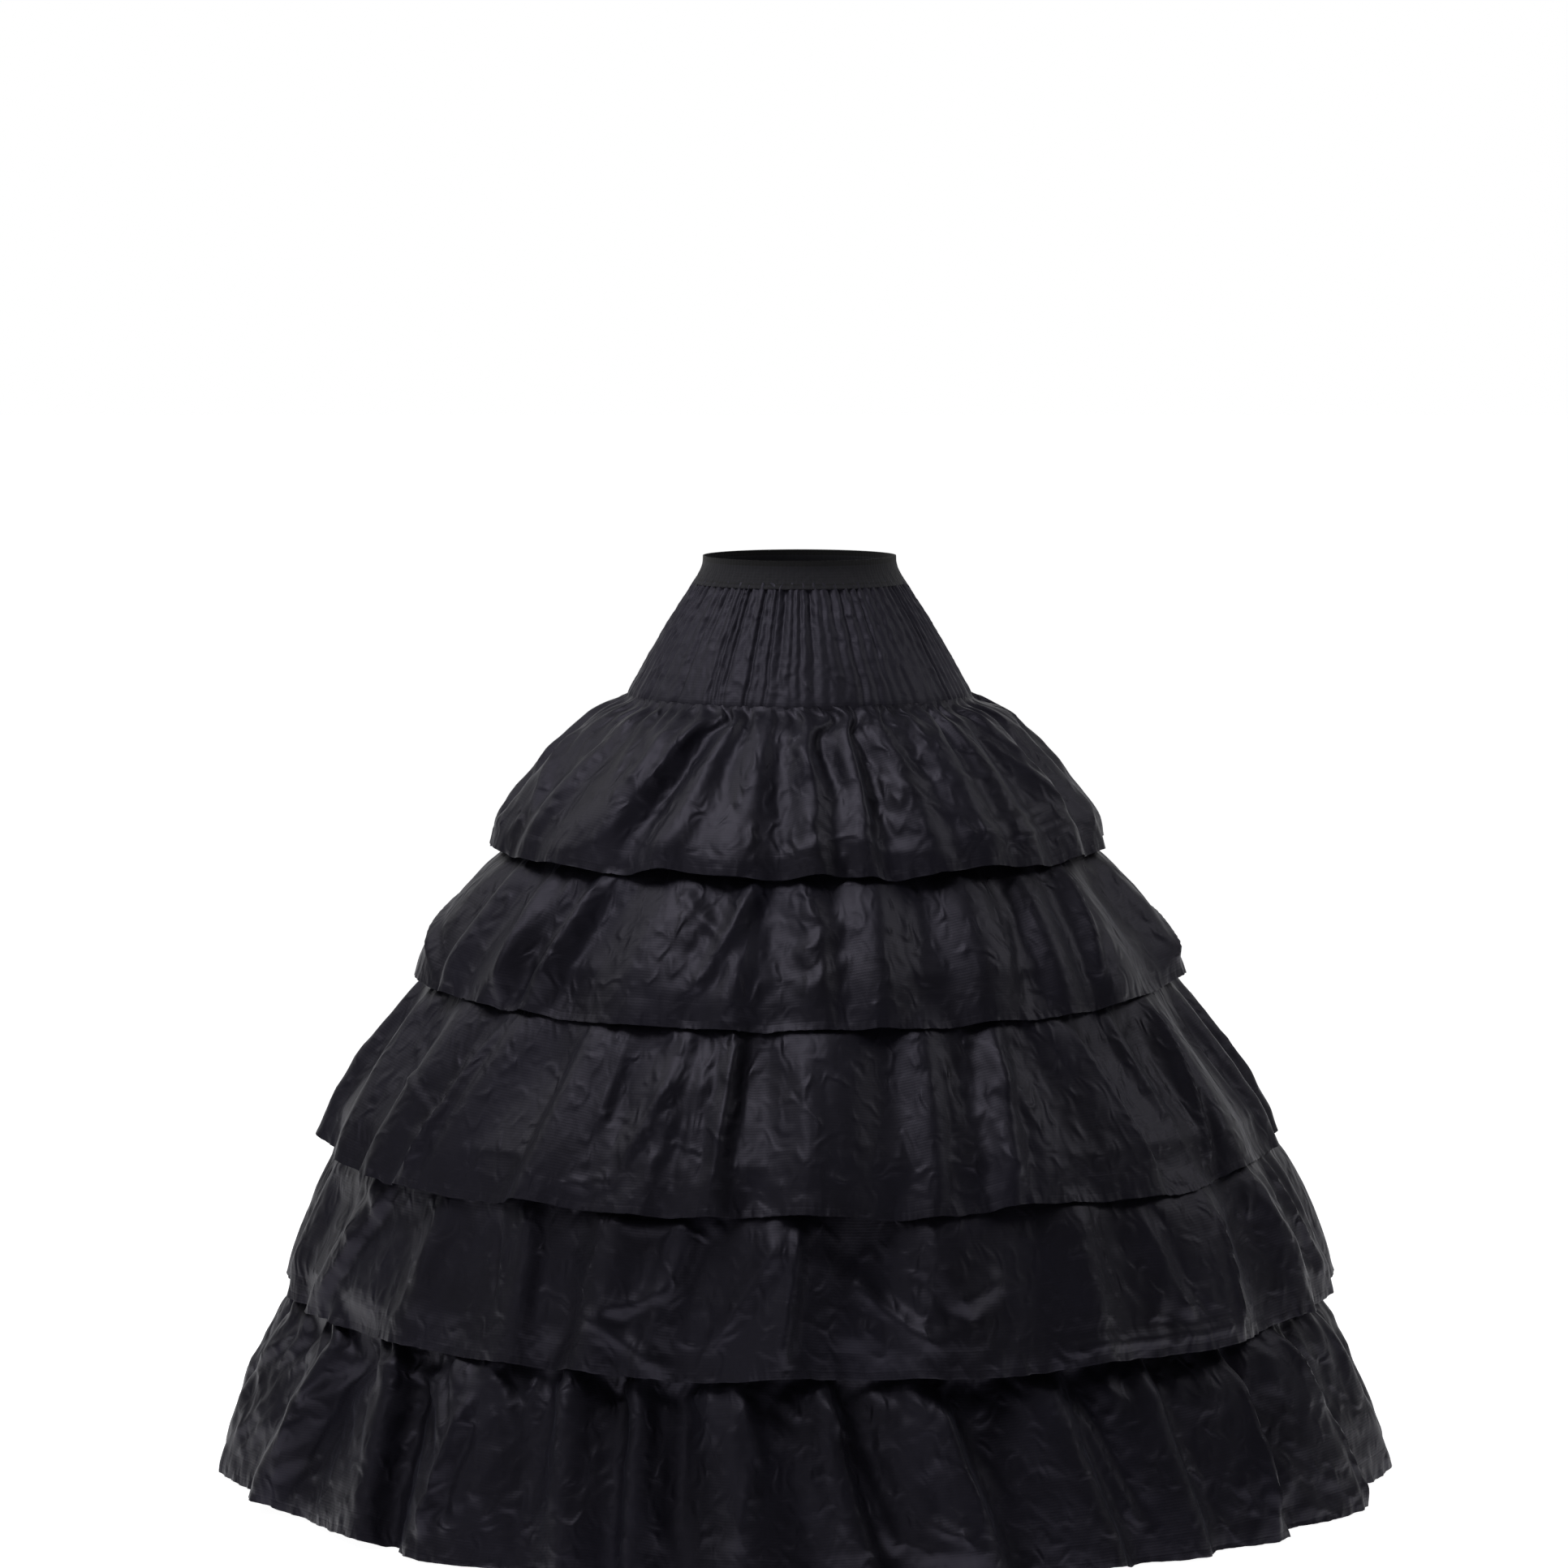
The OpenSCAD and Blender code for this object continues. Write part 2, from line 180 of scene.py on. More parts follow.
# painted shade: darker in the sunken seam line above the foot and along the turned upper edge
up = addNode(tree, "SeparateXYZ", {"Vector": uv}).outputs["Y"]
height = addNode(tree, "MapRange", {"Value": up, "From Max": elasticLook["tallMm"] * mm})
shade = addNode(tree, "ValToRGB", {"Fac": height})
seamAt = elasticLook["seamMm"] / elasticLook["tallMm"]
edgeAt = 1 - elasticLook["edgeMm"] / elasticLook["tallMm"]
shade.color_ramp.elements[0].color = linear(elasticLook["colour"])
shade.color_ramp.elements[1].color = linear(elasticLook["grooveShade"])
for place, colour in ((seamAt - 0.04, "colour"), (seamAt, "grooveShade"), (seamAt + 0.05, "colour"),
                      (edgeAt - 0.03, "colour"), (edgeAt, "grooveShade")):
    spot = shade.color_ramp.elements.new(place)
    spot.color = linear(elasticLook[colour])
ribBump = addNode(tree, "Bump", {"Height": rib.outputs["Fac"], "Strength": 0.25, "Distance": 0.0005})
rowBump = addNode(tree, "Bump", {"Height": row.outputs["Fac"], "Strength": 0.2, "Distance": 0.0004,
                                 "Normal": ribBump})
shader = addNode(tree, "BsdfPrincipled",
                 {"Base Color": shade, "Roughness": 0.82, "IOR": 1.5, "Specular IOR Level": 0.3,
                  "Sheen Weight": 0.1, "Sheen Roughness": 0.5, "Normal": rowBump})
addNode(tree, "OutputMaterial", {"Surface": shader})

# cotton in plain weave, dyed: dull and soft, its threads drawn coarser than the real 0.3 mm so that they
# show; cut straight for the body, and on the bias for the casing tape, where the weave runs slantwise
cottonLook = {"colour": "#141318", "faded": "#1d1c21", "threadMm": 2.8, "fadeMm": 60}


def makeCotton(name, slantDeg):
    look = cottonLook
    material, tree = newMaterial(name)
    uv = addNode(tree, "UVMap", uv_map="cloth")
    turned = addNode(tree, "Mapping", {"Vector": uv, "Rotation": (0, 0, math.radians(slantDeg))})
    warp, weft = [addNode(tree, "TexWave", {"Vector": turned, "Distortion": 0.8,
                                            "Scale": waveScale(look["threadMm"])},
                          wave_type="BANDS", bands_direction=way) for way in ("X", "Y")]
    weave = addNode(tree, "Math", {0: warp.outputs["Fac"], 1: weft.outputs["Fac"]}, operation="MAXIMUM")
    bump = addNode(tree, "Bump", {"Height": weave, "Strength": 0.35, "Distance": 0.0004})
    cloudy = addNode(tree, "TexNoise", {"Vector": uv, "Scale": perMetre(look["fadeMm"]), "Detail": 3.0})
    tint = addNode(tree, "Mix", {"Factor": cloudy, 6: linear(look["colour"]), 7: linear(look["faded"])},
                   data_type="RGBA")
    shader = addNode(tree, "BsdfPrincipled",
                     {"Base Color": tint.outputs[2], "Roughness": 0.88, "IOR": 1.5, "Normal": bump,
                      "Specular IOR Level": 0.25, "Sheen Weight": 0.15, "Sheen Roughness": 0.6})
    addNode(tree, "OutputMaterial", {"Surface": shader})
    return material


lining = makeCotton("wovenCottonLining", 0)
casingTape = makeCotton("biasCutCottonTape", 45)

# spring steel strip in an extruded nylon coat: pale, smooth and waxy, with faint scuffs
coatLook = {"colour": "#e8e6df", "worn": "#cfccc2", "wornMm": 4, "wornDetail": 4.0, "roughness": (0.32, 0.5),
            "markMm": 4, "markDetail": 4.0, "markStretch": 1.0, "markStrength": 0.1, "markDeep": 0.0002,
            "metallic": 0.0, "ior": 1.53}
# zinc-plated steel, cut and pressed round the strip: dull silver with cloudy plating and fine drag marks
platingLook = {"colour": "#b9bcc0", "worn": "#8e9196", "wornMm": 3, "wornDetail": 3.0,
               "roughness": (0.28, 0.45), "markMm": 0.8, "markDetail": 2.0, "markStretch": 0.1,
               "markStrength": 0.15, "markDeep": 0.0001, "metallic": 1.0, "ior": 1.5}


def makeHard(name, look):
    material, tree = newMaterial(name)
    place = addNode(tree, "TexCoord").outputs["Object"]
    worn = addNode(tree, "TexNoise", {"Vector": place, "Scale": perMetre(look["wornMm"]),
                                      "Detail": look["wornDetail"]})
    tint = addNode(tree, "Mix", {"Factor": worn, 6: linear(look["colour"]), 7: linear(look["worn"])},
                   data_type="RGBA")
    smooth, rough = look["roughness"]
    roughness = addNode(tree, "MapRange", {"Value": worn, "To Min": smooth, "To Max": rough})
    drawn = addNode(tree, "Mapping", {"Vector": place, "Scale": (look["markStretch"], 1.0, 1.0)})
    mark = addNode(tree, "TexNoise", {"Vector": drawn, "Scale": perMetre(look["markMm"]),
                                      "Detail": look["markDetail"]})
    bump = addNode(tree, "Bump", {"Height": mark, "Strength": look["markStrength"],
                                  "Distance": look["markDeep"]})
    shader = addNode(tree, "BsdfPrincipled", {"Base Color": tint.outputs[2], "Metallic": look["metallic"],
                                              "Roughness": roughness, "IOR": look["ior"], "Normal": bump})
    addNode(tree, "OutputMaterial", {"Surface": shader})
    return material


nylonCoat = makeHard("extrudedNylonCoat", coatLook)
platedSteel = makeHard("pressedPlatedSteel", platingLook)

# the hoops and their joining sleeves keep their shapes and only take their finish
for name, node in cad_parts.items():
    finish = {"hoop_ferrule": platedSteel, "hoop": nylonCoat}.get(name.rstrip("_1234"))
    if finish:
        node.data.materials.clear()
        node.data.materials.append(finish)
report("materials")

# levels and radii shared with the construction, in metres
hoopRadius = [0.309, 0.396, 0.512, 0.560]
hoopLevel = [0.745, 0.605, 0.415, 0.245]
casingHalf = 0.00495
seamRadius, seamLevel = 0.195, 0.886

# outer line of each flounce from header to hem (radius, level); its main folds at the front: header angle and
# hem angle of the ridge in degrees, to the right as seen, and how deep the valley after it is; and the single
# folds pressed into it: angle and share of the height at both ends, width and height in mm, below 0 for a
# hollow; lengths in metres, and a lift as its angle, its width in degrees and its height
flounceSetup = [
    {"front": 0.004, "cut": 2.30, "columns": 560, "rows": 44, "crumple": 0.0100,
     "line": [(0.1934, 0.886), (0.233, 0.868), (0.279, 0.824), (0.325, 0.769), (0.345, 0.737),
              (0.350, 0.715)],
     "gathers": 62, "gatherRun": 0.042, "gatherDepth": 0.0115, "foldDepth": 0.012,
     "dip": 0.0, "sway": -0.002, "lifts": [],
     "folds": [(-76, -79, 0.7), (-55, -62, 0.6), (-32, -49, 1.7), (-18, -26, 0.6), (-9, -13, 1.1),
               (-1, 4, 1.5), (13, 14, 1.6), (24, 28, 0.7), (37, 38, 0.6), (51, 49, 0.8), (66, 65, 0.9),
               (80, 79, 0.7)],
     "creases": [(-47, 0.2, -44, 0.55, 9, 5), (-29, 0.2, -40, 0.85, 11, 8), (-37, 0.2, -39, 0.55, 8, 5),
                 (-20, 0.35, -10, 0.85, 22, -6), (-4, 0.15, 8, 0.65, 10, 8), (1, 0.05, 4, 0.7, 8, 5),
                 (14, 0.15, 14, 0.8, 10, 8), (22, 0.3, 30, 0.55, 6, 4), (22, 0.5, 34, 0.75, 6, 4),
                 (34, 0.55, 50, 0.5, 6, 4), (32, 0.85, 59, 0.7, 7, 4), (40, 0.85, 65, 0.8, 6, 4),
                 (56, 0.25, 66, 0.75, 7, 6), (63, 0.35, 69, 0.8, 7, 5), (-90, 0.4, -82, 0.75, 8, 6),
                 (-80, 0.25, -66, 0.8, 8, 6), (-4, 0.9, 6, 0.85, 7, 4), (7, 0.8, 25, 0.9, 8, 4)]},
    {"front": 0.009, "cut": 2.88, "columns": 640, "rows": 38, "crumple": 0.0065,
     "line": [(0.3125, 0.740), (0.322, 0.722), (0.345, 0.703), (0.366, 0.684), (0.390, 0.657),
              (0.413, 0.628), (0.430, 0.598), (0.435, 0.575)],
     "gathers": 52, "gatherRun": 0.030, "gatherDepth": 0.0055, "foldDepth": 0.017,
     "dip": 0.026, "sway": -0.001, "lifts": [],
     "folds": [(-82, -80, 0.7), (-63, -66, 0.9), (-45, -54, 1.3), (-36, -44, 1.3), (-22, -27, 0.7),
               (-7, -11, 1.2), (3, 4, 0.8), (14, 12, 1.4), (31, 28, 1.4), (45, 42, 0.8), (58, 53, 1.3),
               (80, 82, 0.7)],
     "creases": [(-52, 0.15, -50, 0.95, 12, 13), (-39, 0.2, -42, 0.9, 12, 13),
                 (-21, 0.25, -17, 0.4, 7, 5), (-17, 0.4, -12, 0.5, 7, 6), (-8, 0.2, -16, 0.8, 10, 13),
                 (0, 0.15, 2, 0.4, 7, 5), (2, 0.4, 6, 0.4, 7, 5), (-2, 0.65, 8, 0.4, 8, 5),
                 (0, 0.8, 8, 0.6, 7, 4), (20, 0.3, 15, 0.85, 12, 5), (40, 0.3, 32, 0.8, 12, 5),
                 (58, 0.15, 51, 0.85, 7, 8), (90, 0.4, 80, 0.9, 7, 6), (-90, 0.45, -73, 0.9, 8, 6)]},
    {"front": 0.01, "cut": 3.62, "columns": 760, "rows": 46, "crumple": 0.0080,
     "line": [(0.3995, 0.600), (0.408, 0.582), (0.428, 0.562), (0.462, 0.518), (0.504, 0.463),
              (0.531, 0.421), (0.542, 0.398), (0.546, 0.385)],
     "gathers": 60, "gatherRun": 0.032, "gatherDepth": 0.0055, "foldDepth": 0.025,
     "dip": 0.018, "sway": -0.003, "lifts": [(52, 7, -0.012), (-57, 8, -0.010)],
     "folds": [(-77, -70, 1.1), (-58, -62, 0.8), (-43, -54, 1.5), (-30, -34, 0.6), (-15, -18, 0.5),
               (-9, -9, 1.1), (3, 2, 0.7), (18, 16, 1.2), (29, 24, 0.6), (38, 46, 1.3), (52, 55, 1.2),
               (64, 63, 1.0), (80, 82, 0.8)],
     "creases": [(-48, 0.25, -52, 0.95, 8, 12), (-69, 0.4, -52, 0.7, 5, 4), (-52, 0.35, -51, 0.7, 5, 4),
                 (-25, 0.25, -26, 0.65, 9, 7), (-17, 0.4, -22, 0.85, 9, 6), (-22, 0.85, -28, 0.9, 9, 5),
                 (-13, 0.3, -14, 0.95, 9, 6), (-9, 0.25, -10, 0.9, 8, 10), (0, 0.3, 1, 0.9, 14, 5),
                 (20, 0.3, 20, 0.6, 8, 5), (28, 0.25, 25, 0.95, 10, 8), (42, 0.25, 46, 0.9, 9, 12),
                 (63, 0.2, 58, 0.95, 7, 11), (75, 0.25, 76, 0.9, 7, 6)]},
    {"front": 0.01, "cut": 3.98, "columns": 800, "rows": 42, "crumple": 0.0075,
     "line": [(0.5155, 0.410), (0.522, 0.388), (0.538, 0.366), (0.554, 0.334), (0.577, 0.281),
              (0.590, 0.242), (0.596, 0.215)],
     "gathers": 64, "gatherRun": 0.032, "gatherDepth": 0.0055, "foldDepth": 0.025,
     "dip": 0.013, "sway": 0.014, "lifts": [],
     "folds": [(-80, -80, 0.8), (-58, -70, 1.2), (-46, -48, 0.8), (-33, -32, 1.5), (-22, -23, 0.6),
               (-12, -17, 1.0), (-2, -3, 1.8), (16, 14, 0.5), (34, 33, 0.7), (53, 51, 1.4), (66, 68, 0.9),
               (80, 84, 0.8)],
     "creases": [(-58, 0.2, -67, 0.9, 8, 7), (-38, 0.25, -36, 0.65, 6, -8), (-22, 0.25, -12, 0.25, 7, 5),
                 (-12, 0.25, -14, 0.55, 8, 6), (-14, 0.55, -22, 0.7, 8, 6), (-24, 0.7, -14, 0.95, 7, 5),
                 (-2, 0.3, -10, 0.85, 11, 7), (0, 0.25, -2, 0.95, 8, 12), (6, 0.5, 14, 0.85, 9, 9),
                 (22, 0.5, 16, 0.65, 12, 7), (13, 0.5, 16, 0.75, 14, -6), (42, 0.25, 45, 0.85, 11, 6),
                 (54, 0.3, 52, 0.95, 5, 8), (76, 0.15, 81, 0.85, 7, 6), (28, 0.9, 52, 0.9, 7, 4)]},
    {"front": 0.004, "cut": 4.62, "columns": 880, "rows": 52, "crumple": 0.0075,
     "line": [(0.5635, 0.240), (0.568, 0.222), (0.582, 0.204), (0.609, 0.165), (0.632, 0.112),
              (0.650, 0.070), (0.666, 0.024), (0.670, 0.001)],
     "gathers": 84, "gatherRun": 0.046, "gatherDepth": 0.0120, "foldDepth": 0.027,
     "dip": 0.0, "sway": 0.008, "lifts": [(-64, 12, 0.016)],
     "folds": [(-82, -84, 0.9), (-62, -66, 1.2), (-50, -46, 1.4), (-37, -39, 0.8), (-26, -23, 1.2),
               (-17, -16, 1.3), (-7, -4, 0.9), (2, 7, 1.3), (13, 18, 1.1), (26, 31, 0.9), (38, 41, 0.8),
               (50, 52, 1.2), (62, 67, 1.2), (79, 86, 0.9)],
     "creases": [(-62, 0.4, -64, 0.9, 9, 12), (-51, 0.25, -42, 0.25, 7, 5), (-42, 0.25, -38, 0.5, 6, 6),
                 (-36, 0.3, -38, 0.9, 8, 13), (-34, 0.2, -31, 0.35, 6, 5), (-30, 0.2, -28, 0.3, 6, 5),
                 (-26, 0.2, -24, 0.35, 6, 5), (-22, 0.25, -22, 0.8, 14, -8), (-14, 0.25, -14, 0.85, 9, 6),
                 (-6, 0.2, -4, 0.5, 7, 7), (-4, 0.4, -6, 0.85, 9, 6), (3, 0.25, 5, 0.4, 8, 7),
                 (5, 0.4, 9, 0.85, 10, 8), (14, 0.25, 18, 0.85, 10, 12), (12, 0.75, 16, 0.85, 7, 6),
                 (28, 0.2, 26, 0.35, 6, 5), (30, 0.3, 34, 0.85, 9, 8), (52, 0.2, 50, 0.95, 8, 13),
                 (62, 0.15, 66, 0.55, 8, 11), (66, 0.55, 69, 1.0, 8, 11)]},
]
lastFlounce = len(flounceSetup)

# ties between threads (threads apart, stiffness), what each round carries over and how far the cloth sinks in
# it; neighbours keep a share of an even step apart, and the seam holds the gathers this far down, in metres
clothRules = {
    "weft": [(1, 0.8), (2, 0.2), (4, 0.08)],
    "warp": [(1, 0.8), (2, 0.3), (4, 0.15)],
    "shear": 0.3,
    "carry": 0.85,
    "weight": 0.00003,
    "leastStep": 0.08,
    "heldRun": 0.07,
    "heldLeast": 0.05,
}
# mesh coarseness, rounds, and the pull towards the goal in each round
drapeStages = [(2, 160, 0.05), (1, 140, 0.012)]
groundGap = 0.0006
# kept above 0 where they divide
leastLength, leastDrop = 1e-9, 1e-6


def smoothLine(points, count, steps=40):  # even steps along a curve through the points
    points = np.array(points)
    ends = np.vstack([2 * points[0] - points[1], points, 2 * points[-1] - points[-2]])
    fine = []
    for i in range(1, len(ends) - 2):
        a, b, c, d = ends[i - 1:i + 3]
        t = np.linspace(0, 1, steps, endpoint=False)[:, None]
        fine.append(0.5 * (2 * b + (c - a) * t + (2 * a - 5 * b + 4 * c - d) * t ** 2
                           + (3 * b - a - 3 * c + d) * t ** 3))
    fine = np.vstack(fine + [points[-1:]])
    travel = np.concatenate([[0], np.cumsum(np.hypot(*np.diff(fine, axis=0).T))])
    even = np.linspace(0, travel[-1], count)
    return np.column_stack([np.interp(even, travel, fine[:, axis]) for axis in (0, 1)]), travel[-1]


# angles around the waist, 0 at the front, and shares of the way down; the angles fill the whole grid, because
# a sine of a single row can differ in its last digit from run to run, and the cloth would magnify that
def threads(columns, rows):
    around = np.linspace(-math.pi, math.pi, columns, endpoint=False)
    return np.tile(around, (rows, 1)), np.linspace(0, 1, rows)[:, None]


def ring(radius, angle, level):  # points around the waist, with the angle counted from the front
    level = np.broadcast_to(level, radius.shape)
    return np.stack([radius * np.sin(angle), -radius * np.cos(angle), level], axis=-1)


def polar(points):
    return np.hypot(points[..., 0], points[..., 1]), np.arctan2(points[..., 0], -points[..., 1])


def grownBy(points, factor):  # moves each point away from the axis
    return points * np.dstack([factor, factor, np.ones_like(factor)])


# folds at the back, made uneven by the same waves as in the construction
backFolds = {"spacing": 17, "wander": 0.18, "lean": 3, "size": 1.05, "vary": 0.57,
             "wanderStep": 140, "leanStep": 200, "varyStep": 250, "tierStep": 70}


def allFolds(setup, number):  # the front folds as listed, then the back ones
    rules = backFolds
    folds = list(setup["folds"])
    lastHead = folds[-1][0]
    gap = 360 + folds[0][0] - lastHead
    tier = number - 1
    count = round(gap / (rules["spacing"] - tier))
    fold = np.arange(1, count)
    shift = rules["tierStep"] * tier
    wander = rules["wander"] * np.sin(np.radians(rules["wanderStep"] * fold + shift))
    head = lastHead + gap * (fold + wander) / count
    hem = head + rules["lean"] * np.sin(np.radians(rules["leanStep"] * fold))
    depth = rules["size"] + rules["vary"] * np.sin(np.radians(rules["varyStep"] * fold + shift))
    return np.vstack([folds, np.column_stack([head, hem, depth])])


# rounded ridges with narrow valleys, each with its own depth and lean
pillowMix = {"wave": 0.4, "arch": 0.6}


def pillow(place, depth, skew=None, crisp=None):
    number = np.floor(place).astype(int) % len(depth)
    part = place % 1
    if skew is not None:
        part = part ** np.exp(skew[number])
    turned = fullTurn * part
    arch = 2 * np.abs(np.cos(turned / 2)) - 1
    shape = 0.5 * (pillowMix["wave"] * np.cos(turned) + pillowMix["arch"] * arch - 1)
    if crisp is not None:  # flat flanks that meet in an edge
        shape = shape + crisp[number] * (np.abs(2 * part - 1) - 1 - shape)
    return depth[number] * shape


def foldPlace(angle, folds, share):  # counts ridges around, a whole number on each ridge
    ridge = np.maximum.accumulate(folds[:, 0] + (folds[:, 1] - folds[:, 0]) * share)
    place = np.concatenate([ridge, [ridge[0] + 360]])
    turned = (np.degrees(angle) - ridge[0]) % 360 + ridge[0]
    return np.interp(turned, place, np.arange(len(place)))


def gatherEdges(chance, count, least):  # uneven steps around the waist, one for each gather
    edge = np.cumsum(least + chance.random(count))
    return np.concatenate([[0], edge]) / edge[-1] * fullTurn - math.pi


def gatherPlace(angle, edge):  # counts gathers around, a whole number on each edge
    return np.interp((angle + math.pi) % fullTurn - math.pi, edge, np.arange(len(edge)))


def ripple(angle, down, chance, waves, count, slant=0):  # even chance waves that close around the waist
    total = np.zeros(np.broadcast(angle, down).shape)
    for i in range(count):
        around = chance.integers(*waves)
        lean = chance.normal(0, slant) * around
        total += np.sin(around * angle + lean * down + fullTurn * chance.random())
    return total / math.sqrt(count)


# under a flounce, in metres: steps in at the seam, out over the casing, and the slack of the body cloth
underSetup = {"seam": 0.004, "casing": 0.0045, "slack": 0.008, "above": 0.01, "below": 0.2, "ground": -0.1}


def bodyLine(setup, number):  # what lies under a flounce: the slack body cloth down to the next casing
    under = underSetup
    headRadius, headLevel = setup["line"][0]
    top = headRadius - under["seam"]
    if number == lastFlounce:
        return np.array([[top, headLevel], [top, under["ground"]]])
    hoop = hoopRadius[number - 1] + under["casing"]
    level = hoopLevel[number - 1]
    middle = ((top + hoop) / 2 - under["slack"], (headLevel + level) / 2)
    return np.array([[top, headLevel + under["above"]], [top, headLevel], middle,
                     [hoop, level + casingHalf], [hoop, level - under["below"]]])


# outer radius of a settled flounce near its header, read off at even levels and angles, and the gap to it
layerSetup = {"depth": 0.09, "levels": 44, "angles": 900, "gap": 0.0025}


def layerTable(points, top):
    depth = layerSetup["depth"]
    levels, angles = layerSetup["levels"], layerSetup["angles"]
    table = np.zeros((levels, angles))
    spread = np.linspace(-math.pi, math.pi, angles, endpoint=False)
    column = np.arange(points.shape[1])
    spots = []
    for level in np.linspace(top, top - depth, levels):
        row = np.clip((points[..., 2] < level).argmax(0), 1, None)
        high, low = points[row - 1, column], points[row, column]
        share = np.clip((high[:, 2] - level) / np.maximum(high[:, 2] - low[:, 2], leastDrop), 0, 1)[:, None]
        spots.append(high + (low - high) * share)
    for k, (radius, angle) in enumerate(zip(*polar(np.stack(spots)))):
        order = np.argsort(angle)
        table[k] = np.interp(spread, angle[order], radius[order], period=fullTurn)
    table = np.maximum.reduce([table, np.roll(table, 1, 1), np.roll(table, -1, 1)])
    return {"table": table, "top": top, "depth": depth}


def layerRadius(layer, angle, level):
    table = layer["table"]
    rowPlace = (layer["top"] - level) / layer["depth"] * (len(table) - 1)
    inside = (rowPlace >= 0) & (rowPlace <= len(table) - 1)
    row = np.clip(np.rint(rowPlace), 0, len(table) - 1).astype(int)
    column = np.rint((angle + math.pi) / fullTurn * table.shape[1]).astype(int) % table.shape[1]
    return np.where(inside, table[row, column] + layerSetup["gap"], 0)


def floorUnder(level, angle, floorLine, layer, gap=0):  # the body cloth, or the flounce below if farther out
    floor = np.interp(-level, -floorLine[:, 1], floorLine[:, 0]) + gap
    if layer is not None:
        floor = np.maximum(floor, layerRadius(layer, angle, level))
    return floor


def spanLength(span):
    return np.sqrt(np.einsum("ijk,ijk->ij", span, span))[..., None] + leastLength


def settle(points, goal, weftRest, line, header, floorLine, layer, rounds, hold):
    rules = clothRules
    rows, columns = points.shape[:2]
    warpRest = {gap: np.hypot(*(line[gap:] - line[:-gap]).T)[:, None, None] for gap, _ in rules["warp"]}
    diagonal = np.sqrt(weftRest[1:] ** 2 + warpRest[1] ** 2)
    down = np.linspace(0, 1, rows) * np.hypot(*np.diff(line, axis=0).T).sum()
    loose = np.clip(down / rules["heldRun"], rules["heldLeast"], 1)[:, None, None]
    least = rules["leastStep"] * fullTurn / columns
    last = points.copy()
    for _ in range(rounds):
        moved = points + rules["carry"] * (points - last)
        moved[..., 2] -= rules["weight"]
        last, points = points, moved
        for gap, stiff in rules["weft"]:
            span = np.roll(points, -gap, 1) - points
            span *= (1 - gap * weftRest / spanLength(span)) * (0.5 * stiff)
            if gap > 1:  # gathers by the seam are held by their thread, not by the stiffness of the cloth
                span *= loose
            points += span
            points -= np.roll(span, gap, 1)
        for gap, stiff in rules["warp"]:
            span = points[gap:] - points[:-gap]
            span *= (1 - warpRest[gap] / spanLength(span)) * (0.5 * stiff)
            points[:-gap] += span
            points[gap:] -= span
        for side in (1, -1):
            span = np.roll(points[1:], side, 1) - points[:-1]
            span *= (1 - diagonal / spanLength(span)) * (0.5 * rules["shear"])
            points[:-1] += span
            points[1:] -= np.roll(span, -side, 1)
        radius, angle = polar(points)
        # neighbours keep their order around the waist, so no fold passes through another
        step = (np.roll(angle, -1, 1) - angle + math.pi) % fullTurn - math.pi
        lack = np.clip(least - step, 0, None) * 0.5
        angle += np.roll(lack, 1, 1) - lack
        radius += hold * (goal[0] - radius)
        points[..., 2] += hold * (goal[1] - points[..., 2])
        radius = np.maximum(radius, floorUnder(points[..., 2], angle, floorLine, layer))
        points[..., 0] = radius * np.sin(angle)
        points[..., 1] = -radius * np.cos(angle)
        points[0] = header
    return points


def evened(points):  # takes out waves as short as the mesh itself
    points = points.copy()
    for _ in range(2):
        points[1:-1] = (points[:-2] + 2 * points[1:-1] + points[2:]) / 4
    points[1:] = (np.roll(points[1:], 1, 1) + 4 * points[1:] + np.roll(points[1:], -1, 1)) / 6
    return points


def refined(coarse, columns, rows):  # a settled sheet carried over to a mesh twice as fine
    across = np.zeros((len(coarse), columns, 3))
    across[:, 0::2] = coarse
    near = coarse + np.roll(coarse, -1, 1)
    across[:, 1::2] = (9 * near - np.roll(coarse, 1, 1) - np.roll(coarse, -2, 1)) / 16
    place = np.linspace(0, 1, rows) * (len(coarse) - 1)
    low = np.clip(place.astype(int), 0, len(coarse) - 2)
    part = (place - low)[:, None, None]
    return across[low] * (1 - part) + across[low + 1] * part


# the shape that a flounce settles towards, in metres and shares: how uneven its gathers are, how its folds
# grow on the way down, the small creases between, the room over the body cloth, and how the hem rises
goalSetup = {"gatherLeast": 0.5, "gatherDepths": (0.4, 1.6), "gatherLengths": (0.5, 1.8), "wander": 0.04,
             "gatherFade": 1.5, "headRun": 0.008, "headLeast": 0.2,
             "foldDown": [0, 0.12, 0.4, 1], "foldSize": [0.1, 0.6, 1, 0.85], "skew": 0.7, "crisp": (0.2, 1.0),
             "creaseHigh": 0.0013, "creaseRun": 0.03, "patchMean": 0.2, "patchMost": 1.4,
             "clear": 0.002, "leastRoom": 0.003, "openRoom": 0.06,
             "frontShare": 0.25, "swayShare": 0.3, "dipFade": 1.5, "hemWave": 0.004, "foldLift": 0.008}


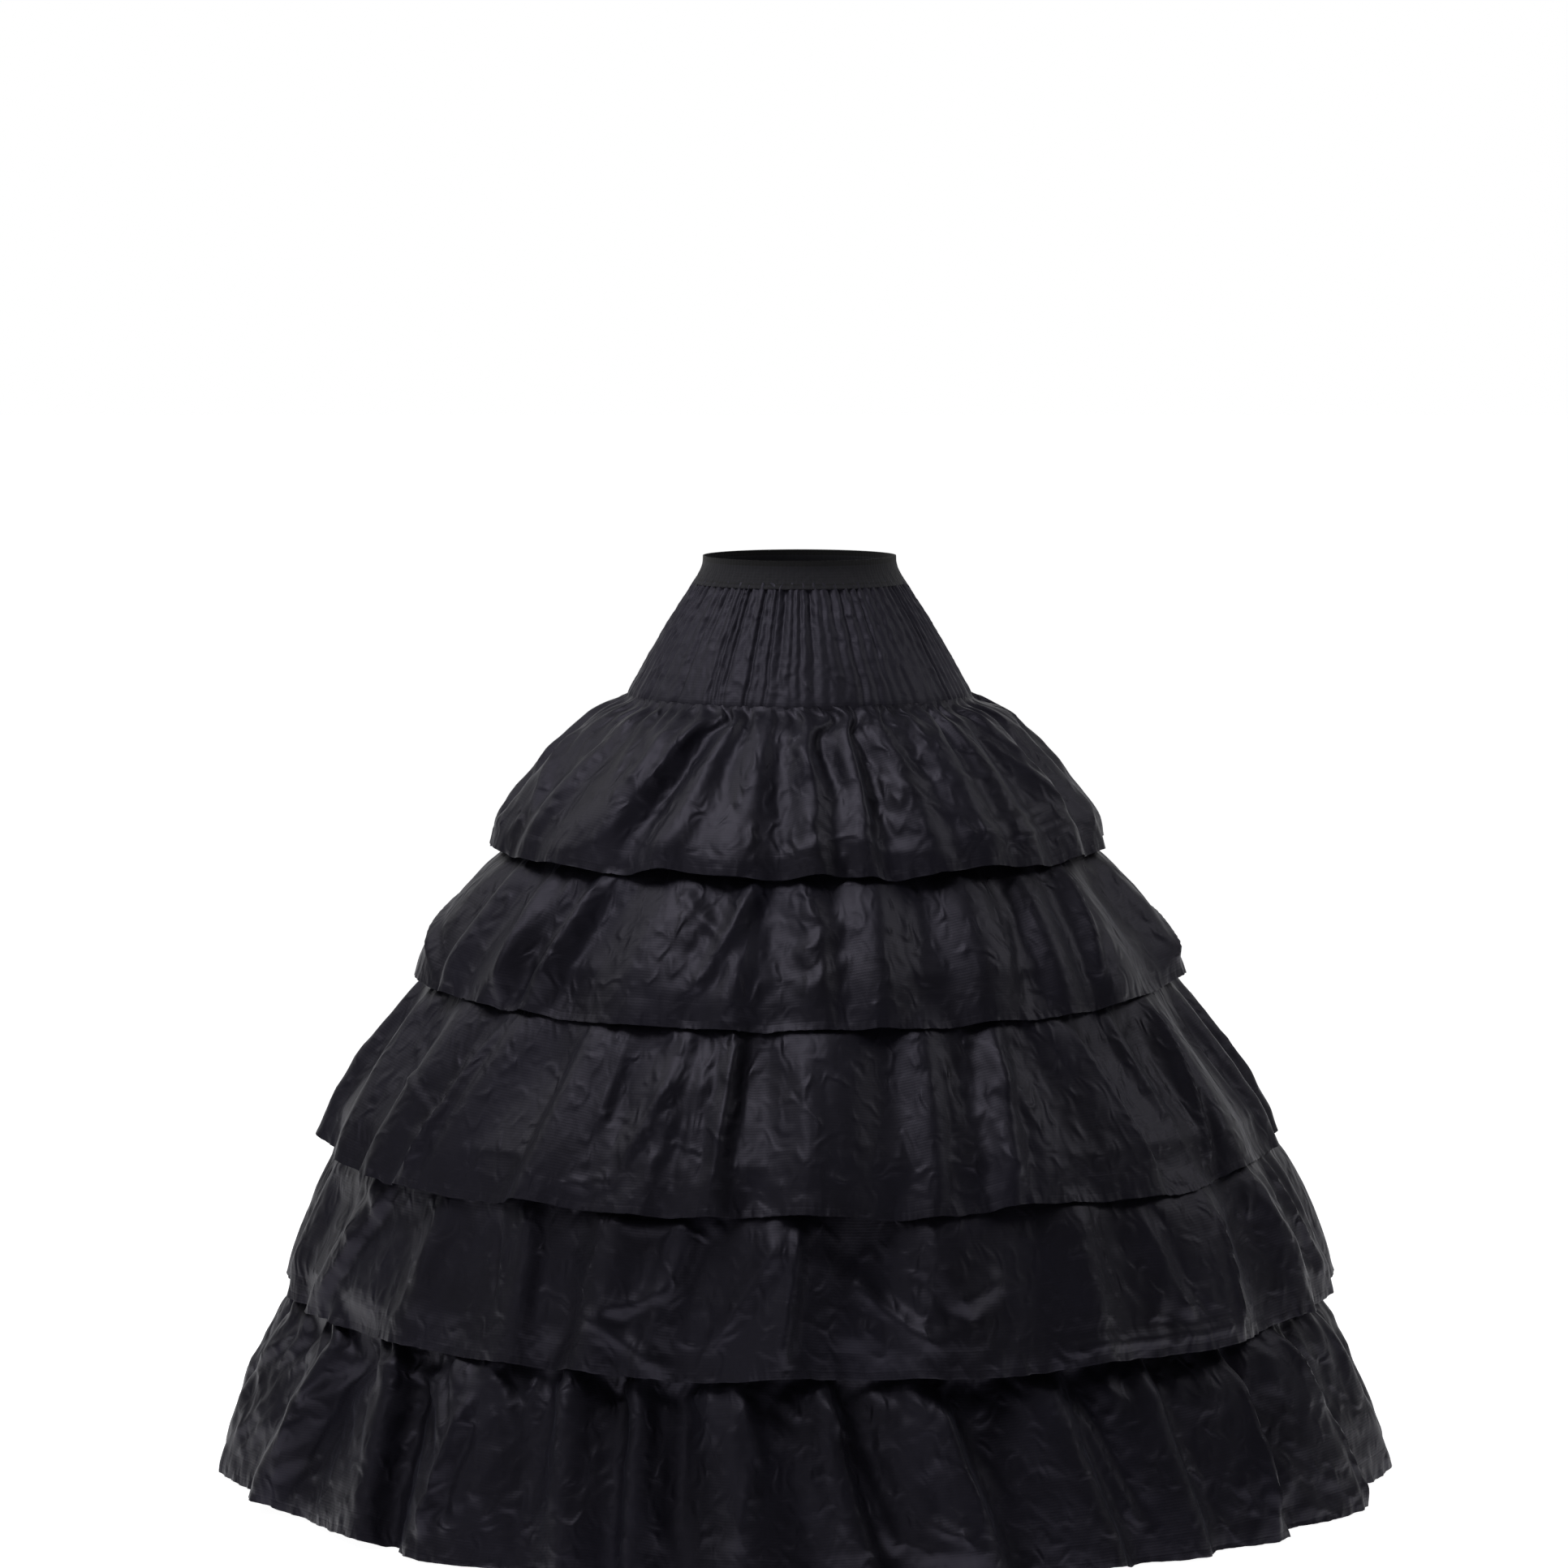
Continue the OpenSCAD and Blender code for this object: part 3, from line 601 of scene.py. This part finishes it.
def flounceGoal(setup, number, columns, rows):
    rules = goalSetup
    chance = np.random.default_rng(40 + number)
    folds = allFolds(setup, number)
    line, tall = smoothLine(setup["line"], rows)
    around, share = threads(columns, rows)
    down = share * tall
    gathers = setup["gathers"]
    gatherEdge = gatherEdges(chance, gathers, rules["gatherLeast"])
    gatherDepth = chance.uniform(*rules["gatherDepths"], gathers)
    gatherLength = chance.uniform(*rules["gatherLengths"], gathers)
    bent = around + rules["wander"] * ripple(around, down, chance, (2, 9), 5, slant=3.0) * share
    gather = gatherPlace(bent, gatherEdge)
    run = setup["gatherRun"] * gatherLength[np.floor(gather).astype(int) % gathers]
    gatherSize = (2 * setup["gatherDepth"] * np.exp(-(down / run) ** rules["gatherFade"])
                  * np.clip(down / rules["headRun"], rules["headLeast"], 1))
    mainSize = 2 * setup["foldDepth"] * np.interp(share, rules["foldDown"], rules["foldSize"])
    skew = chance.uniform(-rules["skew"], rules["skew"], len(folds))
    crisp = chance.uniform(*rules["crisp"], len(folds))
    fold = np.vstack([foldPlace(around[0], folds, part) for part in share[:, 0]])
    main = pillow(fold, folds[:, 2], skew, crisp)
    crease = 1 - np.abs(ripple(around, down, chance, (24, 70), 6, slant=8.0))
    patch = ripple(around, down, chance, (3, 11), 5, slant=4.0)
    patch = np.clip(patch + rules["patchMean"], 0, rules["patchMost"])
    # valleys are as deep as the room over the body cloth lets them be
    frontal = 0.5 + 0.5 * np.cos(around)
    outer = line[:, :1] + setup["front"] * frontal * np.clip(share / rules["frontShare"], 0, 1)
    floor = floorUnder(line[:, 1:], None, bodyLine(setup, number), None)
    room = rules["openRoom"]
    if number < lastFlounce:
        room = np.maximum(outer - floor - rules["clear"], rules["leastRoom"])
    depth = -mainSize * main - gatherSize * pillow(gather, gatherDepth)
    radius = outer - room * depth / (room + 0.5 * depth)
    radius = radius + rules["creaseHigh"] * crease * patch * np.clip(down / rules["creaseRun"], 0, 1)
    radius = radius + setup["sway"] * np.sin(around) * np.clip(share / rules["swayShare"], 0, 1)
    level = line[:, 1:] - setup["dip"] * share ** rules["dipFade"] * frontal ** 2
    for place, wide, height in setup["lifts"]:
        level = level + height * share ** 2 * np.exp(-((np.degrees(around) - place) / wide) ** 2)
    wave = rules["hemWave"] * ripple(around, 0, chance, (4, 16), 6)
    level = level + share * (wave + rules["foldLift"] * (0.5 + main))
    return around, line, tall, radius, level


# pleats at the header: mesh columns in each, how they drift around the seam, and their depth
pleatSetup = {"columns": 7, "drift": 1.3, "drifts": 17, "deep": 0.001}
weftSlack = 1.02


def drapeFlounce(setup, number, layer):
    headRadius, headLevel = setup["line"][0]
    floorLine = bodyLine(setup, number)
    points = None
    for scale, rounds, hold in drapeStages:
        columns = setup["columns"] // scale
        rows = (setup["rows"] - 1) // scale + 1
        around, line, tall, radius, level = flounceGoal(setup, number, columns, rows)
        if number == lastFlounce:
            level = np.maximum(level, groundGap)
        drift = pleatSetup["drift"] * np.sin(around * pleatSetup["drifts"])
        pleat = np.sin(around * round(columns / pleatSetup["columns"]) + drift) * pleatSetup["deep"]
        header = ring(headRadius + pleat, around, headLevel)[0]
        seeded = ring(radius, around, level)
        # the gathering thread takes up the rest of the strip in pleats finer than the mesh
        length = np.linalg.norm(np.roll(seeded, -1, 1) - seeded, axis=2).sum(1)
        weftRest = (np.minimum(length * weftSlack, setup["cut"]) / columns)[:, None, None]
        points = seeded if points is None else refined(points, columns, rows)
        points = settle(points, (radius, level), weftRest, line, header, floorLine, layer, rounds, hold)
        points = evened(points)
        if number == lastFlounce:
            points[..., 2] = np.maximum(points[..., 2], groundGap)
    return points, floorLine, tall


# flat facets that meet in sharp creases, as in stiff thin cloth: width of the cells in metres and their
# share, then how they lean, bend and lie in patches; stitch puckers: longest and shortest wave, and height
crumpleSetup = {"cells": [(0.050, 0.68), (0.020, 0.32)], "crowd": 1.3, "past": 0.1, "lean": 0.5, "bend": 0.4,
                "near": 3, "squash": 0.75, "base": 0.4, "patchGain": 0.7, "patchMean": 0.55, "patchMost": 1.6,
                "headRun": 0.05, "hemRun": 0.03, "hemLeast": 0.25,
                "puckerWaves": (0.04, 0.022), "puckerHigh": 0.0010, "puckerRun": 0.014}


def crumple(points, cut, tall, number, size):
    rules = crumpleSetup
    chance = np.random.default_rng(140 + number)
    rows, columns = points.shape[:2]
    across = np.linspace(0, cut, columns, endpoint=False)
    down = np.linspace(0, tall, rows)[:, None]
    around = np.tile(across / cut * fullTurn, (rows, 1))
    push = np.zeros((rows, columns))
    for cell, share in rules["cells"]:
        count = int(cut * tall / (cell * cell * rules["crowd"]))
        seedU = chance.random(count) * cut
        seedV = chance.random(count) * tall * (1 + 2 * rules["past"]) - tall * rules["past"]
        lean = chance.normal(0, rules["lean"], count)
        bentU = across + rules["bend"] * cell * ripple(around, down / cell, chance, (8, 30), 5, slant=0.02)
        for row in range(rows):
            apartV = down[row, 0] - seedV
            near = np.abs(apartV) < rules["near"] * cell
            apartV = apartV[near]
            apartU = bentU[row][:, None] - seedU[near] - lean[near] * apartV
            apartU -= cut * np.rint(apartU / cut)
            apart = np.sqrt(apartU ** 2 + (rules["squash"] * apartV) ** 2).min(1)
            push[row] += share * (apart / cell - rules["base"])
    patch = ripple(around, down / tall, chance, (3, 12), 6, slant=0.8) * rules["patchGain"]
    patch = np.clip(patch + rules["patchMean"], 0, rules["patchMost"])
    free = (np.clip(down / rules["headRun"], 0, 1)
            * np.clip((tall - down) / rules["hemRun"], rules["hemLeast"], 1))
    waves = [int(cut / length) for length in rules["puckerWaves"]]
    pucker = rules["puckerHigh"] * ripple(around, 0, chance, waves, 9)
    pucker = pucker * np.exp((down - tall) / rules["puckerRun"])
    radius, _ = polar(points)
    return grownBy(points, (radius + size * push * patch * free + pucker) / radius)


# a single fold has a crest along a short line and a dip beside it, counted in its own width
creaseSetup = {"endShare": 0.3, "endLeast": 0.35, "power": 1.3, "dip": 0.4, "dipAt": 1.9}


def pressCreases(points, setup, tall):
    rules = creaseSetup
    radius, angle = polar(points)
    angle = np.degrees(angle)
    share = np.linspace(0, 1, len(points))[:, None]
    push = np.zeros_like(radius)
    for fromAngle, fromShare, toAngle, toShare, wide, high in setup["creases"]:
        middle = np.interp((fromShare + toShare) / 2, share[:, 0], radius.mean(1))
        across = np.radians(angle - fromAngle) * middle
        down = (share - fromShare) * tall
        runAcross = np.radians(toAngle - fromAngle) * middle
        runDown = (toShare - fromShare) * tall
        length = math.hypot(runAcross, runDown)
        along = (across * runAcross + down * runDown) / length
        aside = (across * runDown - down * runAcross) / length / (wide * mm)
        ends = np.minimum(along, length - along) / (rules["endShare"] * length)
        ease = np.clip(ends + rules["endLeast"], 0, 1)
        crest = np.exp(-np.abs(aside) ** rules["power"])
        crest = crest - rules["dip"] * np.exp(-(aside - rules["dipAt"]) ** 2)
        push += high * mm * ease * ease * (3 - 2 * ease) * crest
    return grownBy(points, (radius + push) / radius)


# lifts what dips into the body cloth or the flounce below, with a rounded turn that grows below the header
clearSetup = {"gap": 0.001, "turn": 0.002, "headSteps": 6, "headLeast": 0.05}


def clearOf(points, floorLine, layer):
    rules = clearSetup
    radius, angle = polar(points)
    least = floorUnder(points[..., 2], angle, floorLine, layer, rules["gap"])
    ease = np.clip(np.linspace(0, rules["headSteps"], len(points)), rules["headLeast"], 1)[:, None]
    turn = rules["turn"] * ease
    grown = (least + turn * np.logaddexp(0, (radius - least) / turn)) / radius
    grown[0] = 1
    return grownBy(points, grown)


def clothMesh(name, points, cut, tall, closed):
    rows, columns = points.shape[:2]
    index = np.arange(rows * columns).reshape(rows, columns)
    right = np.roll(index, -1, 1)
    if not closed:
        index, right = index[:, :-1], right[:, :-1]
    faces = np.stack([index[:-1], index[1:], right[1:], right[:-1]], axis=-1).reshape(-1, 4)
    mesh = bpy.data.meshes.new(name)
    mesh.from_pydata(points.reshape(-1, 3).tolist(), [], faces.tolist())
    flat = np.dstack(np.meshgrid(np.linspace(0, cut, index.shape[1] + 1), np.linspace(tall, 0, rows)))
    corner = np.stack([flat[:-1, :-1], flat[1:, :-1], flat[1:, 1:], flat[:-1, 1:]], axis=2)
    mesh.uv_layers.new(name="cloth").data.foreach_set("uv", corner.ravel())
    mesh.polygons.foreach_set("use_smooth", np.ones(len(mesh.polygons), dtype=bool))
    # a cut edge is crisp, so that the shading doesn't roll over it
    edges = np.empty(2 * len(mesh.edges), dtype=np.int32)
    mesh.edges.foreach_get("vertices", edges)
    row = edges.reshape(-1, 2) // columns
    mesh.edges.foreach_set("use_edge_sharp", (row == 0).all(1) | (row == rows - 1).all(1))
    piece = bpy.data.objects.new(name, mesh)
    scene.collection.objects.link(piece)
    return piece


def clothPiece(name, points, cut, tall, material, node, thickness, closed=True):
    piece = clothMesh(name, points, cut, tall, closed)
    piece.data.materials.append(material)
    solid = piece.modifiers.new("clothThickness", "SOLIDIFY")
    solid.thickness = thickness
    solid.offset = -1
    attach(piece, "root")
    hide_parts(node)
    return piece


taffetaThickness = 0.0004
layer = None
for number in range(lastFlounce, 0, -1):
    setup = flounceSetup[number - 1]
    points, floorLine, tall = drapeFlounce(setup, number, layer)
    points = crumple(points, setup["cut"], tall, number, setup["crumple"])
    points = pressCreases(points, setup, tall)
    points = clearOf(points, floorLine, layer)
    layer = layerTable(points, setup["line"][0][1])
    piece = clothPiece("taffetaFlounce" + str(number), points, setup["cut"], tall, hemmedTaffeta,
                       "flounce_" + str(number), taffetaThickness)
    report(f"flounce {number}: reach {polar(points)[0].max():.3f}, lowest {points[..., 2].min():.4f}")


# yoke: a fitted top panel drawn up on the waistband, its gathers running out towards the foot
yokeSetup = {"line": [(0.1163, 1.0175), (0.144, 0.975), (0.165, 0.940), (0.183, 0.908), (0.1943, 0.8870),
                      (0.1930, 0.8795)],
             "cut": 1.30, "columns": 640, "rows": 40, "gathers": 78, "depth": 0.0044,
             "gatherLeast": 0.45, "gatherDepths": (0.35, 1.5), "wander": 0.011,
             "runFrom": 1.2, "runLoss": 0.8, "runVary": 0.4, "runLeast": 0.2,
             "seamShare": 0.015, "seamRun": 0.05, "seamLeast": 0.08, "crinkle": 0.0005}


def yokePoints():
    setup = yokeSetup
    chance = np.random.default_rng(7)
    line, tall = smoothLine(setup["line"], setup["rows"])
    around, share = threads(setup["columns"], setup["rows"])
    edge = gatherEdges(chance, setup["gathers"], setup["gatherLeast"])
    depth = chance.uniform(*setup["gatherDepths"], setup["gathers"])
    bent = around + setup["wander"] * ripple(around, share, chance, (2, 14), 7, slant=1.2) * share
    loss = setup["runLoss"] + setup["runVary"] * ripple(around, 0, chance, (5, 30), 7)
    run = np.clip(setup["runFrom"] - share * loss, setup["runLeast"], 1)
    free = np.clip((share - setup["seamShare"]) / setup["seamRun"], setup["seamLeast"], 1)
    size = setup["depth"] * run * free
    radius = line[:, :1] + size * pillow(gatherPlace(bent, edge), depth)
    radius = radius + setup["crinkle"] * ripple(around, share, chance, (60, 130), 6, slant=0.6) * run
    return ring(radius, around, line[:, 1:]), tall


points, tall = yokePoints()
piece = clothPiece("gatheredYoke", points, yokeSetup["cut"], tall, dullTaffetaPaintedLighter, "yoke",
                   taffetaThickness)

# waistband: flat woven elastic, a little tighter at its upper edge
bandSetup = {"line": [(0.1092, 1.0416), (0.1096, 1.034), (0.1112, 1.028), (0.1150, 1.020), (0.1207, 1.0110)],
             "cut": 0.75, "columns": 420, "rows": 22, "wave": 0.0003, "thickness": 0.0018}


def bandPoints():
    setup = bandSetup
    chance = np.random.default_rng(11)
    line, tall = smoothLine(setup["line"], setup["rows"])
    around, share = threads(setup["columns"], setup["rows"])
    radius = line[:, :1] + setup["wave"] * ripple(around, share, chance, (30, 90), 6, slant=0.4) * share
    return ring(radius, around, line[:, 1:]), tall


points, tall = bandPoints()
piece = clothPiece("elasticWaistband", points, bandSetup["cut"], tall, elastic, "waistband",
                   bandSetup["thickness"])
report("yoke and waistband")

# body cloth between the casings, slack between the hoops
panelSetup = {"columns": 240, "rows": 14, "slack": 0.010, "hang": 0.0025, "wave": 0.002, "thickness": 0.0005,
              "seamIn": 0.0035, "seamDown": 0.001, "casingGap": 0.0003}


def panelPoints(tier):
    setup = panelSetup
    chance = np.random.default_rng(70 + tier)
    if tier == 0:
        top = (seamRadius - setup["seamIn"], seamLevel - setup["seamDown"])
    else:
        top = (hoopRadius[tier - 1], hoopLevel[tier - 1] - casingHalf - setup["casingGap"])
    foot = (hoopRadius[tier], hoopLevel[tier] + casingHalf + setup["casingGap"])
    middle = ((top[0] + foot[0]) / 2 - setup["slack"], (top[1] + foot[1]) / 2)
    line, tall = smoothLine([top, middle, foot], setup["rows"])
    around, share = threads(setup["columns"], setup["rows"])
    free = np.sin(math.pi * share)
    wave = setup["wave"] * free * ripple(around, share, chance, (12, 40), 7, slant=0.3)
    radius = line[:, :1] - setup["hang"] * free + wave
    return ring(radius, around, line[:, 1:]), tall, top[0], foot[0]


# casings: tape folded round the flat strip on edge, open at the back where the strip's ends are joined
casingSetup = {"columns": 300, "gap": 0.060, "tape": 0.026, "thickness": 0.0007,
               "turns": 17, "halfWide": 0.00235, "halfHigh": 0.0048, "square": 0.5, "pucker": 0.03}


def casingPoints(tier):
    setup = casingSetup
    chance = np.random.default_rng(90 + tier)
    gap = setup["gap"] / hoopRadius[tier]
    around = np.linspace(-math.pi + gap / 2, math.pi - gap / 2, setup["columns"])
    turn = np.linspace(0, fullTurn, setup["turns"])[:, None]
    # an oval section that holds the flat strip on edge
    wide, high = [half * np.sign(wave) * np.abs(wave) ** setup["square"]
                  for half, wave in ((setup["halfWide"], np.cos(turn)), (setup["halfHigh"], np.sin(turn)))]
    radius = hoopRadius[tier] + wide * (1 + setup["pucker"] * ripple(around, 0, chance, (60, 160), 6))
    return ring(radius, around, hoopLevel[tier] - high)


for tier in range(len(hoopRadius)):
    label = str(tier + 1)
    points, tall, topRadius, footRadius = panelPoints(tier)
    wide = fullTurn * footRadius
    piece = clothPiece("bodyPanel" + label, points, wide, tall, lining, "body_panel_" + label,
                       panelSetup["thickness"])
    wide, tape = fullTurn * hoopRadius[tier], casingSetup["tape"]
    piece = clothPiece("hoopCasing" + label, casingPoints(tier), wide, tape, casingTape,
                       "hoop_casing_" + label, casingSetup["thickness"], closed=False)
report("body cloth and casings")

# white floor and surround, with four soft boxes: one overhead, a weak one at the front and two behind
floorSetup = {"side": 20, "near": -12, "far": 30, "level": -0.002, "colour": "#e6e6e6", "glow": 0.97}
side, near, far = [floorSetup[name] for name in ("side", "near", "far")]
floorMesh = bpy.data.meshes.new("studioFloor")
corners = [(-side, near, 0), (side, near, 0), (side, far, 0), (-side, far, 0)]
floorMesh.from_pydata(corners, [], [(0, 1, 2, 3)])
floorPiece = bpy.data.objects.new("studioFloor", floorMesh)
floorPiece.location.z = floorSetup["level"]
scene.collection.objects.link(floorPiece)
floorMaterial, tree = newMaterial("paintedStudioFloor")
path = addNode(tree, "LightPath")
seen = addNode(tree, "Math", {0: path.outputs["Is Camera Ray"], 1: path.outputs["Is Glossy Ray"]},
               operation="MAXIMUM")
matte = addNode(tree, "BsdfDiffuse", {"Color": linear(floorSetup["colour"])})
glow = addNode(tree, "Emission", {"Color": (1, 1, 1, 1), "Strength": floorSetup["glow"]})
bright = addNode(tree, "AddShader", {0: matte, 1: glow})
both = addNode(tree, "MixShader", {0: seen, 1: matte, 2: bright})
addNode(tree, "OutputMaterial", {"Surface": both})
floorMesh.materials.append(floorMaterial)

# the white paper is behind the object, so that gloss shows it there, and the room in front is dim
surround = {"room": "#f4f5f8", "dim": 0.06, "paperFrom": 0.62}
world = bpy.data.worlds.new("studioSurround")
scene.world = world
world.use_nodes = True
tree = world.node_tree
tree.nodes.clear()
path = addNode(tree, "LightPath")
fill = addNode(tree, "Background", {"Color": linear(surround["room"]), "Strength": surround["dim"]})
white = addNode(tree, "Background", {"Color": (1, 1, 1, 1), "Strength": 1.0})
facing = addNode(tree, "TexCoord").outputs["Generated"]
depth = addNode(tree, "SeparateXYZ", {"Vector": facing}).outputs["Y"]
behind = addNode(tree, "MapRange", {"Value": depth, "From Min": surround["paperFrom"], "From Max": 1.0})
paper = addNode(tree, "Math", {0: behind, 1: path.outputs["Is Glossy Ray"]}, operation="MULTIPLY")
clear = addNode(tree, "Math", {0: path.outputs["Is Camera Ray"], 1: path.outputs["Is Transmission Ray"]},
                operation="MAXIMUM")
shown = addNode(tree, "Math", {0: paper, 1: clear}, operation="MAXIMUM")
sky = addNode(tree, "MixShader", {0: shown, 1: fill, 2: white})
addNode(tree, "OutputWorld", {"Surface": sky})

softBoxes = [
    {"name": "overheadBox", "place": (-0.8, -0.7, 3), "aim": (0, -0.2, 0.6), "size": (1.5, 1.4), "power": 31},
    {"name": "frontBox", "place": (-3.4, -2.8, 3.0), "aim": (0, 0, 0.6), "size": (2.0, 2.0), "power": 7},
    {"name": "sideBox", "place": (3.3, 0.7, 3.1), "aim": (0, 0, 0.6), "size": (1.4, 1.8), "power": 19},
    {"name": "rimBox", "place": (-3.1, 1.3, 3.4), "aim": (0, 0, 0.6), "size": (1.4, 1.8), "power": 18},
]
for box in softBoxes:
    lamp = bpy.data.lights.new(box["name"], "AREA")
    lamp.shape = "RECTANGLE"
    lamp.size, lamp.size_y = box["size"]
    lamp.energy = box["power"]
    stand = bpy.data.objects.new(box["name"], lamp)
    stand.location = box["place"]
    away = np.array(box["place"]) - np.array(box["aim"])
    aside = math.hypot(away[0], away[1])
    stand.rotation_euler = (math.atan2(aside, away[2]), 0, math.atan2(away[0], -away[1]))
    scene.collection.objects.link(stand)
report("light")
